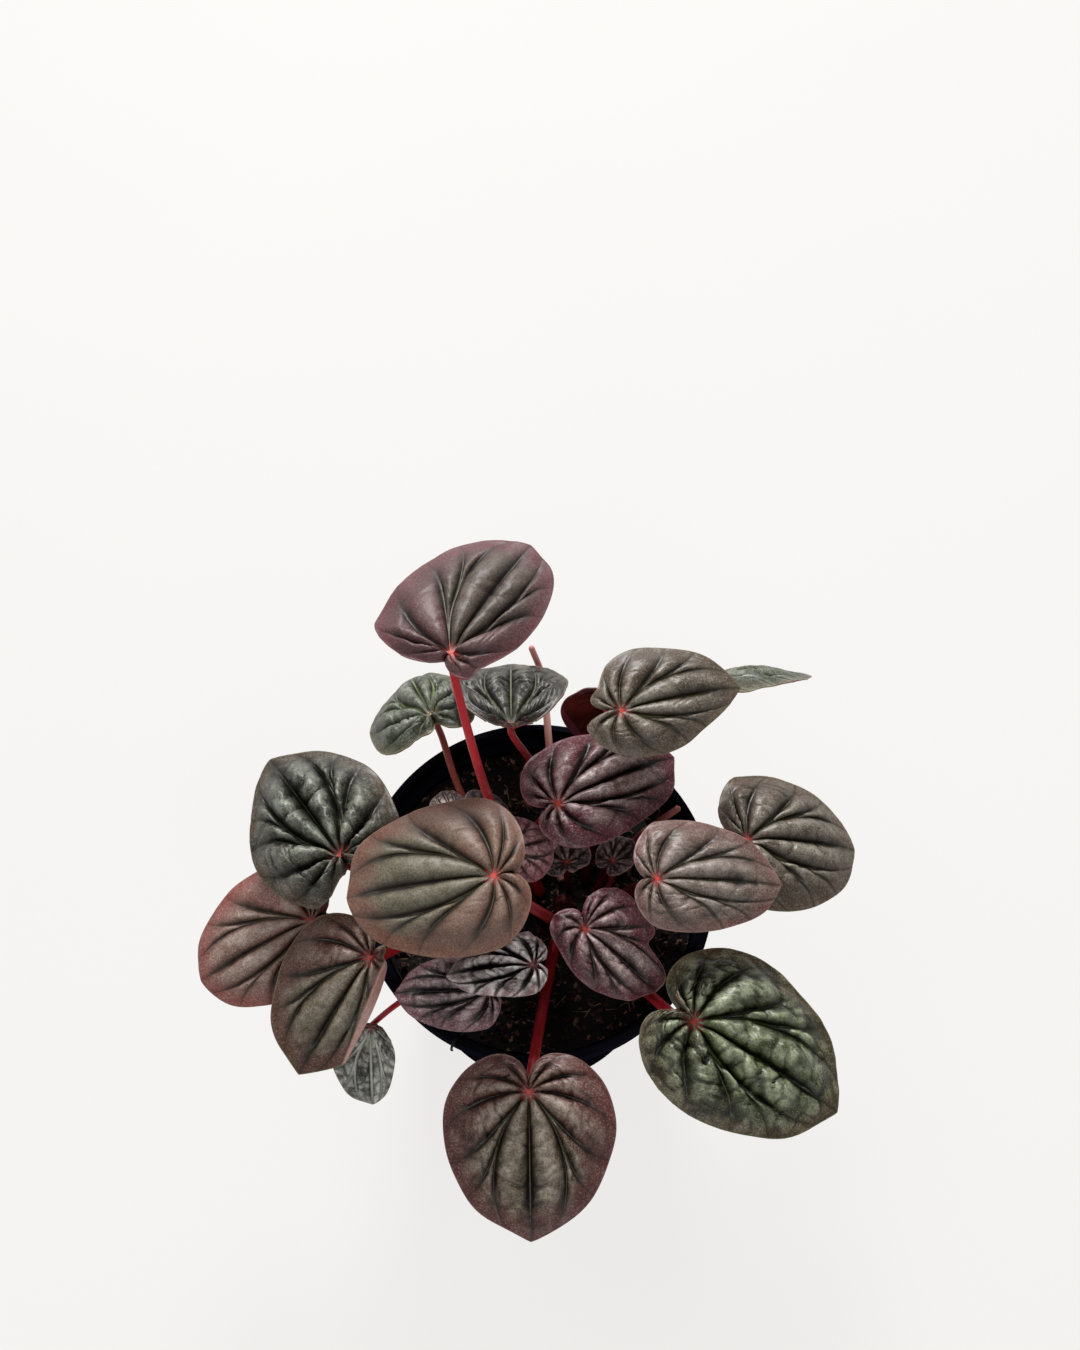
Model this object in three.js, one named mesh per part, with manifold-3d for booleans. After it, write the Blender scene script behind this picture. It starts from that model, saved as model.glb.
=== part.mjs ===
import * as THREE from "three";
import { mergeVertices } from "three/addons/utils/BufferGeometryUtils.js";
import Module from "manifold-3d";

// Millimetres, +Z up, the pot's axis on Z, its base on z = 0. Azimuth 90 degrees is the back.

// Pot: a thin tapered nursery pot with a rim band that stands out from the wall.
const potHeight = 88;
const potRimRadius = 50;
const potBandRadius = 49.2;
const potBandHeight = 9;
const potTopWallRadius = 46.8;
const potBaseRadius = 35;
const potWall = 1.2;
const potFloor = 1.6;
const potSegments = 44;
const drainHoles = 8;
const drainHoleRadius = 3;
const drainCircleRadius = 27;

// Soil: fills the pot and stops below the rim.
const soilTop = 78;
const soilClearance = 0.3;
const soilLump = 0.9;
const soilSectors = 26;
const soilRings = 5;
const holeClearance = 0.35;
const holeBottom = 67;
const footTop = 79.6;
const footLength = 8;

// Crown: the short thick stem the leaf stalks gather round.
const crownPlace = [8, -3];
const crownRadius = 3.2;
const crownHeight = 9;

// Blades: every blade is one sheet of constant thickness with sunken ribs and raised ridges. The
// crease of a folded blade stands foldStart from the midrib at the seat and moves out by foldSlant.
const bladeThickness = 1.1;
const starGap = 0.35;
const ribStarts = [0, 44, 62, 94, 130, 158];
const ribEnds = [0, 14, 44, 66, 98, 138];
const ribBend = 0.8;
const ridgeHeight = 0.055;
const rimWave = 0.018;
const ringsLarge = [0.2, 0.42, 0.68, 0.88, 1];
const ringsSmall = [0.34, 0.7, 1];
const smallBlade = 17;
const foldStart = 3.6;
const foldSlant = 0.17;
const foldLeast = 3;

// Stalks: round, meeting the blade square on.
const stalkSides = 6;
const stalkApproach = 7;

// One entry a leaf. seat: where the stalk meets the blade; heading: azimuth of the tip;
// droop: tip below the seat; roll: left side up; length: seat to tip; left, right: half widths;
// back: reach of the lobes behind the seat over the length; tip: how pointed it is;
// curl: fall of the tip; cup: fall of the sides; foldLeft: how far the left margin is folded down;
// taper: narrowing towards the seat; skew: how far round the notch is turned to the left;
// bulges: its own swells and hollows, each an angle, a share of the reach and a breadth in degrees;
// foot: where the stalk leaves the soil; via: points it bends by.
const leaves = [
  { name: "01", seat: [-22, 40, 163], heading: 61, droop: 8, roll: -5, length: 44.5, left: 24,
    right: 17.5, back: 0.14, tip: 0.1, bulges: [[-97, -0.42, 34], [0, -0.04, 20], [128, 0.09, 38]],
    foot: [1, 2], via: [[-12, 15, 113]], stalk: 1.45 },
  { name: "02", seat: [-30, 47, 103], heading: 112, droop: 36, roll: -8, length: 28, left: 18.5,
    right: 12, back: 0.38, tip: 0.12,
    bulges: [[30, -0.12, 24], [108, 0.12, 22], [143, -0.22, 14], [-122, 0.3, 24]],
    foot: [-3, 7], via: [[-20.8, 27, 88]], stalk: 1.1 },
  { name: "03", seat: [-7, 38, 117], heading: 91, droop: 32, roll: 0, length: 35, left: 18,
    right: 17, back: 0.05, taper: 0.8, curl: 0.12, cup: -0.3, foot: [4, 10], via: [[2.8, 27, 96]],
    approach: 2.5, stalk: 1.1 },
  { name: "04", seat: [20, 48, 112], heading: 85, droop: 100, roll: 0, length: 22, left: 13,
    right: 11, foot: [11, 10], via: [[17, 30, 98]], stalk: 1.2 },
  { name: "05", seat: [23, 34, 138], heading: 15, droop: 2, roll: 4, length: 34.5, left: 17,
    right: 14, skew: -9, bulges: [[122, -0.27, 26], [-160, 0.2, 16], [-30, -0.11, 20]],
    foot: [14, 6], via: [[17, 22, 96], [24, 40, 115]], stalk: 1.4 },
  { name: "06", seat: [46, 52, 112], heading: 21, droop: 16, roll: -54, length: 36.5, left: 14,
    right: 12, foot: [18, 5], via: [[28, 30, 94]], stalk: 1.2 },
  { name: "07", seat: [6, 14, 120], heading: 27, droop: 5, roll: 0, length: 36.5, left: 17,
    right: 15, back: 0.22, tip: 0.16, bulges: [[-26, 0.05, 18]], foot: [1, 6],
    via: [[0, 14, 100]], stalk: 1.3 },
  { name: "08", seat: [58, 7, 110], heading: 4, droop: 18, roll: -4, length: 34.5, left: 21,
    right: 20, back: 0.22, tip: 0.08, foot: [19, -1], via: [[38, 2, 90]], stalk: 1.3 },
  { name: "09", seat: [32, -10, 128], heading: 1, droop: 7, roll: 3, length: 34.5, left: 17,
    right: 14, back: 0.18, tip: 0.12, foot: [12.5, -5.5], via: [[19, -8, 95], [26, -6, 107]],
    stalk: 1.4 },
  { name: "10", seat: [13, -19, 112], heading: 322, droop: 12, roll: 0, length: 25.4, left: 16,
    right: 12, tip: 0.14, skew: -38, back: 0.28,
    bulges: [[10, 0.09, 9], [30, -0.19, 9], [110, 0.1, 25], [-88, -0.2, 26]],
    foot: [9, -9], via: [[11, -14, 96]], stalk: 1.3 },
  { name: "11", seat: [42, -44, 110], heading: 332, droop: 13, roll: 0, length: 47, left: 25,
    right: 22, foot: [14, -12], via: [[27, -28, 92]], stalk: 1.6 },
  { name: "12", seat: [-2, -62, 106], heading: 271, droop: 13, roll: 0, length: 39, left: 23,
    right: 23, foot: [5, -14], via: [[1, -40, 92]], stalk: 1.6 },
  { name: "13", seat: [-11, -14, 143], heading: 185, droop: 5, roll: 0, length: 39, left: 20,
    right: 23, back: 0.24, tip: 0.07, bulges: [[-25, 0.05, 15], [-148, -0.07, 18]], foot: [2, -5],
    via: [[4, -15, 108]], stalk: 1.6 },
  { name: "14", seat: [-53, 0, 118], heading: 125, droop: 12, roll: -7, length: 41, left: 21,
    right: 22, back: 0.22, tip: 0.19, foot: [-5, 1], via: [[-28, 1, 96]],
    bulges: [[31, -0.06, 16], [-83, -0.07, 20], [127, 0.17, 15], [152, -0.28, 13]], stalk: 1.5 },
  { name: "15", seat: [-63, -11, 93], heading: 204, droop: 12, roll: 0, length: 36, left: 17.6,
    right: 21.2, back: 0.22, tip: 0.06, foot: [-8, -3], via: [[-26, -7, 88], [-47, -10, 92]],
    approach: 3, stalk: 1.4 },
  { name: "16", seat: [-45, -26, 108], heading: 235, droop: 18, roll: 0, length: 37.2, left: 14,
    right: 21, back: 0.2, bulges: [[-28, 0.06, 22], [118, -0.62, 42]], foldLeft: 88,
    foot: [-7, -7], via: [[-26, -12.5, 92]], stalk: 1.5 },
  { name: "17", seat: [-46, -39, 84], heading: 271, droop: 26, roll: 0, length: 22.5, left: 7,
    right: 12, back: 0.04, tip: 0.1, taper: 0.7, foot: [-4, -12],
    via: [[-28, -27, 87], [-38, -34, 91]], approach: 2, stalk: 0.9 },
  { name: "18", seat: [-1, -28, 108.5], heading: 182, droop: 9, roll: 0, length: 24.5, left: 9,
    right: 9.5, back: 0.17, bulges: [[60, -0.08, 25]], foot: [3, -9], via: [[1, -18, 96]],
    stalk: 1.2 },
  { name: "19", seat: [-13, -33, 100], heading: 179, droop: 5, roll: 0, length: 26, left: 11,
    right: 11, back: 0.14, tip: 0.14, curl: 0.08, foot: [0, -13], via: [[-7, -24, 90]],
    stalk: 1.1 },
  { name: "20", seat: [-7, 1, 118], heading: 24, droop: 14, roll: 0, length: 13.5, left: 10,
    right: 10, foot: [-1, -1], via: [[-4, -1, 100]], stalk: 1.1 },
  { name: "21", seat: [8.5, 3.1, 102.5], heading: 112, droop: 8, roll: 4, length: 9.5, left: 8,
    right: 7.5, back: 0.46, tip: 0.1, skew: -24, bulges: [[-135, -0.3, 25]], foot: [9.5, 3],
    via: [], stalk: 0.9 },
  { name: "22", seat: [21.4, 4.5, 99.5], heading: 50, droop: 0, roll: 0, length: 8.5, left: 6,
    right: 5, back: 0.5, tip: 0.14, foot: [16.5, 1.5], via: [], stalk: 0.9 },
  { name: "23", seat: [-24, 20, 97], heading: 110, droop: 20, roll: 0, length: 9, left: 6,
    right: 5, foot: [-7, 5], via: [[-15, 12, 88]], stalk: 0.9 },
  { name: "24", seat: [-16, 18, 100], heading: 28, droop: 28, roll: 0, length: 11, left: 8,
    right: 7, foot: [-3, 3], via: [[-10, 10, 88]], stalk: 0.9 },
];

// Flower stalks: bare spikes with a rounded end.
const spikes = [
  { name: "01", foot: [7, 6], via: [[4, 38, 88], [3, 51, 90], [1.8, 62, 94]], end: [-1.4, 67.5, 103],
    stalk: 1.2 },
  { name: "02", foot: [16.5, -6.5], via: [[22.5, 5.5, 87.5], [28.5, 12.6, 94.8]], end: [39, 16, 110],
    stalk: 1 },
];

const degree = Math.PI / 180;
const wasm = await Module();
wasm.setup();

const potMaterial = new THREE.MeshStandardMaterial({ color: 0x15171b, roughness: 0.4, metalness: 0 });
const soilMaterial = new THREE.MeshStandardMaterial({ color: 0x1c1410, roughness: 1, metalness: 0 });
const bladeMaterial = new THREE.MeshStandardMaterial({ color: 0x4f4640, roughness: 0.45, metalness: 0 });
const stalkMaterial = new THREE.MeshStandardMaterial({ color: 0x8f2c33, roughness: 0.45, metalness: 0 });
const spikeMaterial = new THREE.MeshStandardMaterial({ color: 0xa9605c, roughness: 0.5, metalness: 0 });

function toSolid(geometry) {
  const bare = geometry.clone();
  bare.deleteAttribute("normal");
  bare.deleteAttribute("uv");
  const merged = mergeVertices(bare, 1e-4);
  return new wasm.Manifold(new wasm.Mesh({
    numProp: 3,
    vertProperties: merged.attributes.position.array,
    triVerts: new Uint32Array(merged.index.array),
  }));
}

function fromSolid(solid) {
  const made = solid.getMesh();
  const geometry = new THREE.BufferGeometry();
  geometry.setAttribute("position", new THREE.BufferAttribute(made.vertProperties, 3));
  geometry.setIndex(new THREE.BufferAttribute(made.triVerts, 1));
  geometry.computeVertexNormals();
  return geometry;
}

function closedGeometry(positions, faces) {
  const geometry = new THREE.BufferGeometry();
  geometry.setAttribute("position", new THREE.Float32BufferAttribute(positions.flat(), 3));
  geometry.setIndex(faces.flat());
  geometry.computeVertexNormals();
  return geometry;
}

// Distance from the seat to the margin over the length, at an angle from the midrib.
function marginReach(angle, tip) {
  const a = Math.abs(angle);
  const lean = 0.24 * Math.cos(a * degree);
  const point = tip * Math.exp(-Math.pow(a / 22, 1.1));
  const notch = 0.21 * Math.exp(-Math.pow((180 - a) / 18, 1.3));
  const shoulder = 0.03 * Math.exp(-Math.pow((a - 26) / 14, 2));
  return 0.76 - tip + lean + point + shoulder - notch;
}

// Factor of a leaf's own swells and hollows at an angle.
function ownOutline(leaf, angle) {
  let factor = 1;
  for (const [at, added, breadth] of leaf.bulges ?? []) {
    factor *= 1 + added * Math.exp(-Math.pow((angle - at) / breadth, 2));
  }
  return factor;
}

// Flat place in the blade at a margin angle and a share of the way out.
function flatPlace(leaf, angle, share) {
  const tip = leaf.tip ?? 0.2;
  const back = leaf.back ?? 0.26;
  let halfWidth = 0;
  let lobeReach = 0;
  for (let a = 0; a <= 180; a += 2) {
    halfWidth = Math.max(halfWidth, marginReach(a, tip) * Math.sin(a * degree));
    lobeReach = Math.max(lobeReach, -marginReach(a, tip) * Math.cos(a * degree));
  }
  const reach = marginReach(angle, tip) * ownOutline(leaf, angle) * share;
  const turned = angle + (leaf.skew ?? 0) * Math.pow(angle / 180, 2);
  let x = reach * Math.cos(turned * degree);
  let y = reach * Math.sin(turned * degree);
  if (x < 0) x *= back / lobeReach;
  y *= (y > 0 ? leaf.left : leaf.right) / halfWidth;
  const near = Math.min(1, Math.max(0, 1 - (x + 0.1) / 0.6));
  y *= 1 - (leaf.taper ?? 0) * near * near;
  return [x * leaf.length, y];
}

// Lifts a flat place into the bowed, cupped and folded blade; wave is the height of the ridge there.
function raisedPlace(leaf, x, y, wave) {
  const curl = leaf.curl ?? 0.15;
  const cup = leaf.cup ?? 0.15;
  const half = y > 0 ? leaf.left : leaf.right;
  const along = x / leaf.length;
  let z = wave - (x > 0 ? 1 : 0.6) * curl * along * along * leaf.length;
  z -= cup * y * y / half;
  const fold = (leaf.foldLeft ?? 0) * degree;
  const crease = Math.max(foldLeast, foldStart + foldSlant * x);
  const folded = fold > 0 ? Math.max(0, y - crease) : 0;
  return new THREE.Vector3(x, y - folded * (1 - Math.cos(fold)), z - folded * Math.sin(fold));
}

// Rays of the blade: ribs with a ridge ray between each two, and one ray along the notch.
function bladeRays() {
  const side = [];
  for (let i = 0; i < ribStarts.length; i++) {
    const nextStart = ribStarts[i + 1] ?? 180;
    const nextEnd = ribEnds[i + 1] ?? 180;
    side.push({ start: ribStarts[i], end: ribEnds[i], rib: true });
    side.push({ start: (ribStarts[i] + nextStart) / 2, end: (ribEnds[i] + nextEnd) / 2, rib: false });
  }
  const inward = side.slice(1).reverse();
  const mirrored = inward.map((ray) => ({ start: -ray.start, end: -ray.end, rib: ray.rib }));
  return [...side, { start: 180, end: 180, rib: true }, ...mirrored];
}

function ridgeWave(leaf, ray, share) {
  const size = Math.sqrt(leaf.length * (leaf.left + leaf.right));
  if (ray.rib) return -rimWave * size * share * share;
  const swell = Math.sin(Math.PI * Math.min(1, 0.15 + share * 0.8));
  return size * (ridgeHeight * swell * Math.min(1, share * 4) + rimWave * share * share);
}

function bladeGeometry(leaf) {
  const rays = bladeRays();
  const rings = leaf.length < smallBlade ? ringsSmall : ringsLarge;
  const top = [new THREE.Vector3(0, 0, 0)];
  for (const share of rings) {
    for (const ray of rays) {
      const angle = ray.end + (ray.start - ray.end) * Math.pow(1 - share, ribBend);
      const [x, y] = flatPlace(leaf, angle, share);
      top.push(raisedPlace(leaf, x, y, ridgeWave(leaf, ray, share)));
    }
  }
  const count = rays.length;
  const faces = [];
  for (let i = 0; i < count; i++) {
    const j = (i + 1) % count;
    faces.push([0, 1 + i, 1 + j]);
    for (let k = 0; k + 1 < rings.length; k++) {
      const a = 1 + k * count + i;
      const b = 1 + k * count + j;
      faces.push([a, a + count, b + count]);
      faces.push([a, b + count, b]);
    }
  }
  const normals = top.map(() => new THREE.Vector3());
  for (const [a, b, c] of faces) {
    const normal = new THREE.Vector3().crossVectors(
      top[b].clone().sub(top[a]),
      top[c].clone().sub(top[a]),
    );
    for (const vertex of [a, b, c]) normals[vertex].add(normal);
  }
  normals[0].set(0, 0, 1);
  for (const normal of normals) normal.setLength(bladeThickness);
  const under = top.map((place, i) => place.clone().sub(normals[i]));
  const size = top.length;
  const all = [...faces];
  for (const [a, b, c] of faces) all.push([a + size, c + size, b + size]);
  const last = size - count;
  for (let i = 0; i < count; i++) {
    const j = (i + 1) % count;
    all.push([last + i, last + i + size, last + j + size]);
    all.push([last + i, last + j + size, last + j]);
  }
  return closedGeometry([...top, ...under].map((v) => [v.x, v.y, v.z]), all);
}

// The stalk's path: straight up out of the soil, then a curve through the points. The straight
// foot is one step long, so that a ring of the tube falls where it ends.
function stalkPath(points) {
  const risen = new THREE.CatmullRomCurve3(points, false, "centripetal");
  const bends = Math.max(3, Math.round(risen.getLength() / footLength));
  const foot = points[0].clone();
  foot.z -= risen.getLength() / bends;
  const path = new THREE.CurvePath();
  path.add(new THREE.LineCurve3(foot, points[0]));
  path.add(risen);
  return { path, steps: bends + 1 };
}

function stalkSolid(points, radius) {
  const { path, steps } = stalkPath(points);
  const corners = [];
  for (let i = 0; i < stalkSides; i++) {
    const turn = (2 * Math.PI * i) / stalkSides;
    corners.push(new THREE.Vector2(radius * Math.cos(turn), radius * Math.sin(turn)));
  }
  const tube = new THREE.ExtrudeGeometry(new THREE.Shape(corners), { steps, extrudePath: path });
  return toSolid(tube);
}

function leafStalk(leaf) {
  const seat = new THREE.Vector3(...leaf.seat);
  const turn = new THREE.Euler(leaf.roll * degree, leaf.droop * degree, leaf.heading * degree, "ZYX");
  const normal = new THREE.Vector3(0, 0, 1).applyEuler(turn);
  const points = [
    new THREE.Vector3(leaf.foot[0], leaf.foot[1], footTop),
    ...leaf.via.map((place) => new THREE.Vector3(...place)),
    seat.clone().addScaledVector(normal, -(leaf.approach ?? stalkApproach)),
    seat.clone().addScaledVector(normal, -bladeThickness - starGap),
  ];
  return fromSolid(stalkSolid(points, leaf.stalk));
}

function spikeStalk(spike) {
  const points = [
    new THREE.Vector3(spike.foot[0], spike.foot[1], footTop),
    ...spike.via.map((place) => new THREE.Vector3(...place)),
    new THREE.Vector3(...spike.end),
  ];
  const knob = new THREE.SphereGeometry(spike.stalk, stalkSides, 4);
  knob.translate(...spike.end);
  return fromSolid(stalkSolid(points, spike.stalk).add(toSolid(knob)));
}

function uprightRod(x, y, bottom, top, radius, sides) {
  const rod = new THREE.CylinderGeometry(radius, radius, top - bottom, sides);
  rod.rotateX(Math.PI / 2);
  rod.translate(x, y, (bottom + top) / 2);
  return toSolid(rod);
}

function potGeometry() {
  const profile = [
    [0, 0],
    [potBaseRadius - 1, 0],
    [potBaseRadius, 1],
    [potTopWallRadius, potHeight - potBandHeight - 0.6],
    [potBandRadius, potHeight - potBandHeight],
    [potBandRadius, potHeight - 1.6],
    [potRimRadius, potHeight - 1.2],
    [potRimRadius, potHeight - 0.3],
    [potRimRadius - 0.3, potHeight],
    [potBandRadius - potWall, potHeight],
    [potBandRadius - potWall, potHeight - potBandHeight + 1.2],
    [potTopWallRadius - potWall, potHeight - potBandHeight],
    [potBaseRadius - potWall, potFloor],
    [0, potFloor],
  ].map(([r, z]) => new THREE.Vector2(r, z));
  const lathe = new THREE.LatheGeometry(profile, potSegments);
  lathe.rotateX(Math.PI / 2);
  let solid = toSolid(lathe);
  for (let i = 0; i < drainHoles; i++) {
    const angle = ((i + 0.5) * 2 * Math.PI) / drainHoles;
    const x = drainCircleRadius * Math.cos(angle);
    const y = drainCircleRadius * Math.sin(angle);
    solid = solid.subtract(uprightRod(x, y, -1, potFloor + 1, drainHoleRadius, 12));
  }
  return fromSolid(solid);
}

// Height of the soil's lumpy top at a place.
function soilHeight(x, y) {
  const broad = Math.sin(x * 0.19 + 1.3) * Math.cos(y * 0.23 - 0.4);
  const fine = Math.sin(x * 0.61 + y * 0.37) * Math.cos(y * 0.53 - x * 0.21 + 0.8);
  return soilTop + soilLump * (0.6 * broad + 0.4 * fine);
}

function soilGeometry() {
  const wallSlope = (potTopWallRadius - potBaseRadius) / (potHeight - potBandHeight);
  const innerRadius = (z) => potBaseRadius - potWall + wallSlope * (z - potFloor) - soilClearance;
  const bottom = potFloor + soilClearance;
  const edge = innerRadius(soilTop - soilLump);
  const profile = [new THREE.Vector2(0, bottom), new THREE.Vector2(innerRadius(bottom) - 0.2, bottom)];
  for (let k = soilRings; k > 0; k--) profile.push(new THREE.Vector2((edge * k) / soilRings, soilTop));
  profile.push(new THREE.Vector2(0, soilTop));
  const lathe = new THREE.LatheGeometry(profile, soilSectors);
  lathe.rotateX(Math.PI / 2);
  const places = lathe.getAttribute("position");
  for (let i = 0; i < places.count; i++) {
    if (places.getZ(i) < soilTop - 0.1) continue;
    const x = places.getX(i);
    const y = places.getY(i);
    const rim = Math.hypot(x, y) > edge - 0.1;
    places.setZ(i, rim ? soilTop - soilLump : soilHeight(x, y));
  }
  let solid = toSolid(lathe);
  for (const grown of [...leaves, ...spikes]) {
    const [x, y] = grown.foot;
    solid = solid.subtract(uprightRod(x, y, holeBottom, footTop + 2, grown.stalk + holeClearance, 8));
  }
  const [x, y] = crownPlace;
  solid = solid.subtract(uprightRod(x, y, holeBottom, footTop + 2, crownRadius + holeClearance, 12));
  return fromSolid(solid);
}

function crownGeometry() {
  const top = soilTop + crownHeight;
  const profile = [
    [0, holeBottom + 0.6],
    [crownRadius, holeBottom + 0.6],
    [crownRadius, soilTop + 3],
    [crownRadius * 0.85, top - 3],
    [crownRadius * 0.5, top - 0.8],
    [0, top],
  ].map(([r, z]) => new THREE.Vector2(r, z));
  const lathe = new THREE.LatheGeometry(profile, 12);
  lathe.rotateX(Math.PI / 2);
  return fromSolid(toSolid(lathe));
}

function named(name, geometry, material) {
  const mesh = new THREE.Mesh(geometry, material.clone());
  mesh.name = name;
  return mesh;
}

const plant = new THREE.Group();
plant.name = "potted_plant";
plant.add(named("pot", potGeometry(), potMaterial));
plant.add(named("soil", soilGeometry(), soilMaterial));
const crown = named("crown", crownGeometry(), stalkMaterial);
crown.position.set(crownPlace[0], crownPlace[1], 0);
plant.add(crown);

for (const leaf of leaves) {
  const set = new THREE.Group();
  set.name = `leaf_${leaf.name}`;
  const blade = named(`blade_${leaf.name}`, bladeGeometry(leaf), bladeMaterial);
  blade.position.set(...leaf.seat);
  blade.rotation.set(leaf.roll * degree, leaf.droop * degree, leaf.heading * degree, "ZYX");
  set.add(blade);
  set.add(named(`petiole_${leaf.name}`, leafStalk(leaf), stalkMaterial));
  plant.add(set);
}
for (const spike of spikes) plant.add(named(`spike_${spike.name}`, spikeStalk(spike), spikeMaterial));

export default plant;
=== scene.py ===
import math
import random

import bpy
from mathutils import Euler, Matrix, Vector, noise


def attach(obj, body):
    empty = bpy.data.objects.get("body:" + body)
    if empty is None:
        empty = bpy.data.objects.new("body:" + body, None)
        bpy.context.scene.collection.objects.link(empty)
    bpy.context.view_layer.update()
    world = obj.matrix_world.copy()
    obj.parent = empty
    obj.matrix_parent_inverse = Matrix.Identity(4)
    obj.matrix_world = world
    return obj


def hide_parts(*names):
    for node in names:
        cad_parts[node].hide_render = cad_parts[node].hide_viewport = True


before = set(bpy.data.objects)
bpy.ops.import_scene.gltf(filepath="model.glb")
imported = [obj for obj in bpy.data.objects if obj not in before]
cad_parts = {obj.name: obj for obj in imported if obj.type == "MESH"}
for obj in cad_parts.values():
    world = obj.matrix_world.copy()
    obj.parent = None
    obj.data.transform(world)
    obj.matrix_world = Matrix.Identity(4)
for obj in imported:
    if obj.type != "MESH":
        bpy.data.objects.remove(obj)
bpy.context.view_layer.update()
scene = bpy.context.scene
scene.view_settings.view_transform = "Standard"
mm = 0.001
dice = random.Random(7)
noise.seed_set(7)  # noise_vector follows the clock without it


def startFresh():
    # an operator acts on all that is selected
    bpy.ops.object.select_all(action="DESELECT")


def editFaces():
    bpy.ops.object.mode_set(mode="EDIT")
    bpy.ops.mesh.select_all(action="SELECT")


def endEdit():
    bpy.ops.object.mode_set(mode="OBJECT")


def pick(piece):
    startFresh()
    piece.select_set(True)
    bpy.context.view_layer.objects.active = piece


def startPiece(name):
    # names the primitive that an operator has just added
    piece = bpy.context.active_object
    piece.name = name
    piece.data.name = name
    return piece


def addModifier(piece, kind, **settings):
    modifier = piece.modifiers.new(kind.lower(), kind)
    for key, value in settings.items():
        setattr(modifier, key, value)
    pick(piece)
    bpy.ops.object.modifier_apply(modifier=modifier.name)


def settle(piece, slotName, *nodes):
    # the finished piece rides on the part's one body and stands for its CAD nodes
    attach(piece, "root")
    if nodes:
        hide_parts(*nodes)


def swatch(red, green, blue):
    # a colour given as it looks on a screen, made linear
    def linear(value):
        value = value / 255
        return value / 12.92 if value < 0.0405 else ((value + 0.055) / 1.055) ** 2.4

    return (linear(red), linear(green), linear(blue), 1)


def clamp(value, low=0.0, high=1.0):
    return max(low, min(high, value))


def smooth(value, low, high):
    value = clamp((value - low) / (high - low))
    return value * value * (3 - 2 * value)


def bell(value, spot, breadth):
    return math.exp(-(((value - spot) / breadth) ** 2))


class Wire:
    # a socket of a material; sums and products of wires add Math nodes
    def __init__(self, paint, socket):
        self.paint = paint
        self.socket = socket

    def maths(self, operation, first, second):
        return self.paint.node("Math", {"operation": operation}, {0: first, 1: second})

    def __add__(self, other):
        return self.maths("ADD", self, other)

    def __radd__(self, other):
        return self.maths("ADD", other, self)

    def __sub__(self, other):
        return self.maths("SUBTRACT", self, other)

    def __rsub__(self, other):
        return self.maths("SUBTRACT", other, self)

    def __mul__(self, other):
        return self.maths("MULTIPLY", self, other)

    def __rmul__(self, other):
        return self.maths("MULTIPLY", other, self)

    def step(self, low, high):
        # 0 before low, 1 past high, smooth between; it runs the other way where low is the larger
        settings = {"interpolation_type": "SMOOTHSTEP"}
        return self.paint.node("MapRange", settings, {0: self, 1: low, 2: high})


class Paint:
    # one material and the nodes of its Principled surface
    def __init__(self, name, **surface):
        self.material = bpy.data.materials.new(name)
        self.material.use_nodes = True
        self.tree = self.material.node_tree
        self.surface = self.tree.nodes["Principled BSDF"]
        self.finish(**surface)

    def feed(self, socket, value):
        # a wire, a number, or a colour as swatch takes it
        if isinstance(value, Wire):
            self.tree.links.new(value.socket, socket)
        else:
            socket.default_value = swatch(*value) if isinstance(value, tuple) else value

    def finish(self, **sockets):
        for key, value in sockets.items():
            self.feed(self.surface.inputs[key.replace("_", " ")], value)

    def node(self, kind, settings, values, output=0):
        made = self.tree.nodes.new("ShaderNode" + kind)
        for key, value in settings.items():
            setattr(made, key, value)
        for key, value in values.items():
            self.feed(made.inputs[key], value)
        return Wire(self, made.outputs[output])

    def larger(self, first, second):
        return first.maths("MAXIMUM", first, second)

    def mix(self, factor, first, second):
        settings = {"data_type": "RGBA", "blend_type": "MIX", "clamp_factor": True}
        return self.node("Mix", settings, {0: factor, 6: first, 7: second}, 2)

    def layer(self, colour, coats):
        # colours laid over each other, each with its own mask
        for mask, tone in coats:
            colour = self.mix(mask, colour, tone)
        return colour

    def read(self, attribute):
        return self.node("Attribute", {"attribute_name": attribute}, {}, "Fac")

    def place(self):
        return self.node("TexCoord", {}, {}, "Object")

    def along(self, axis):
        return self.node("SeparateXYZ", {}, {0: self.place()}, axis)

    def grain(self, scale, detail=2.0, roughness=0.5):
        values = {"Vector": self.place(), "Scale": scale, "Detail": detail, "Roughness": roughness}
        return self.node("TexNoise", {}, values, "Fac")

    def bump(self, height, distance, strength):
        values = {"Height": height, "Distance": distance, "Strength": strength}
        self.finish(Normal=self.node("Bump", {}, values))


view = dict(place=(0.001, -0.193, 0.697), tilt=23, lens=60, film=36, nearest=0.01)
lamps = [
    dict(name="keyLight", place=(-0.05, 0.95, 0.8), aim=(0, 0, 0.1), size=0.3, power=14.5),
    dict(name="overheadLight", place=(-0.35, 0.0, 1.1), aim=(0, 0, 0.1), size=0.5, power=2.0),
    dict(name="frontLight", place=(0.15, -0.8, 0.9), aim=(0, 0, 0.1), size=0.3, power=2.2),
]
room = dict(floorSize=8, floor=(98, 97, 96), floorCloud=(94, 93, 92), cloudScale=3.0,
            glow=(246, 244, 242), glowStrength=0.87, sky=(250, 249, 247), skyStrength=0.2)


def aimed(place, target):
    return (Vector(target) - Vector(place)).to_track_quat("-Z", "Y").to_euler()


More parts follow.
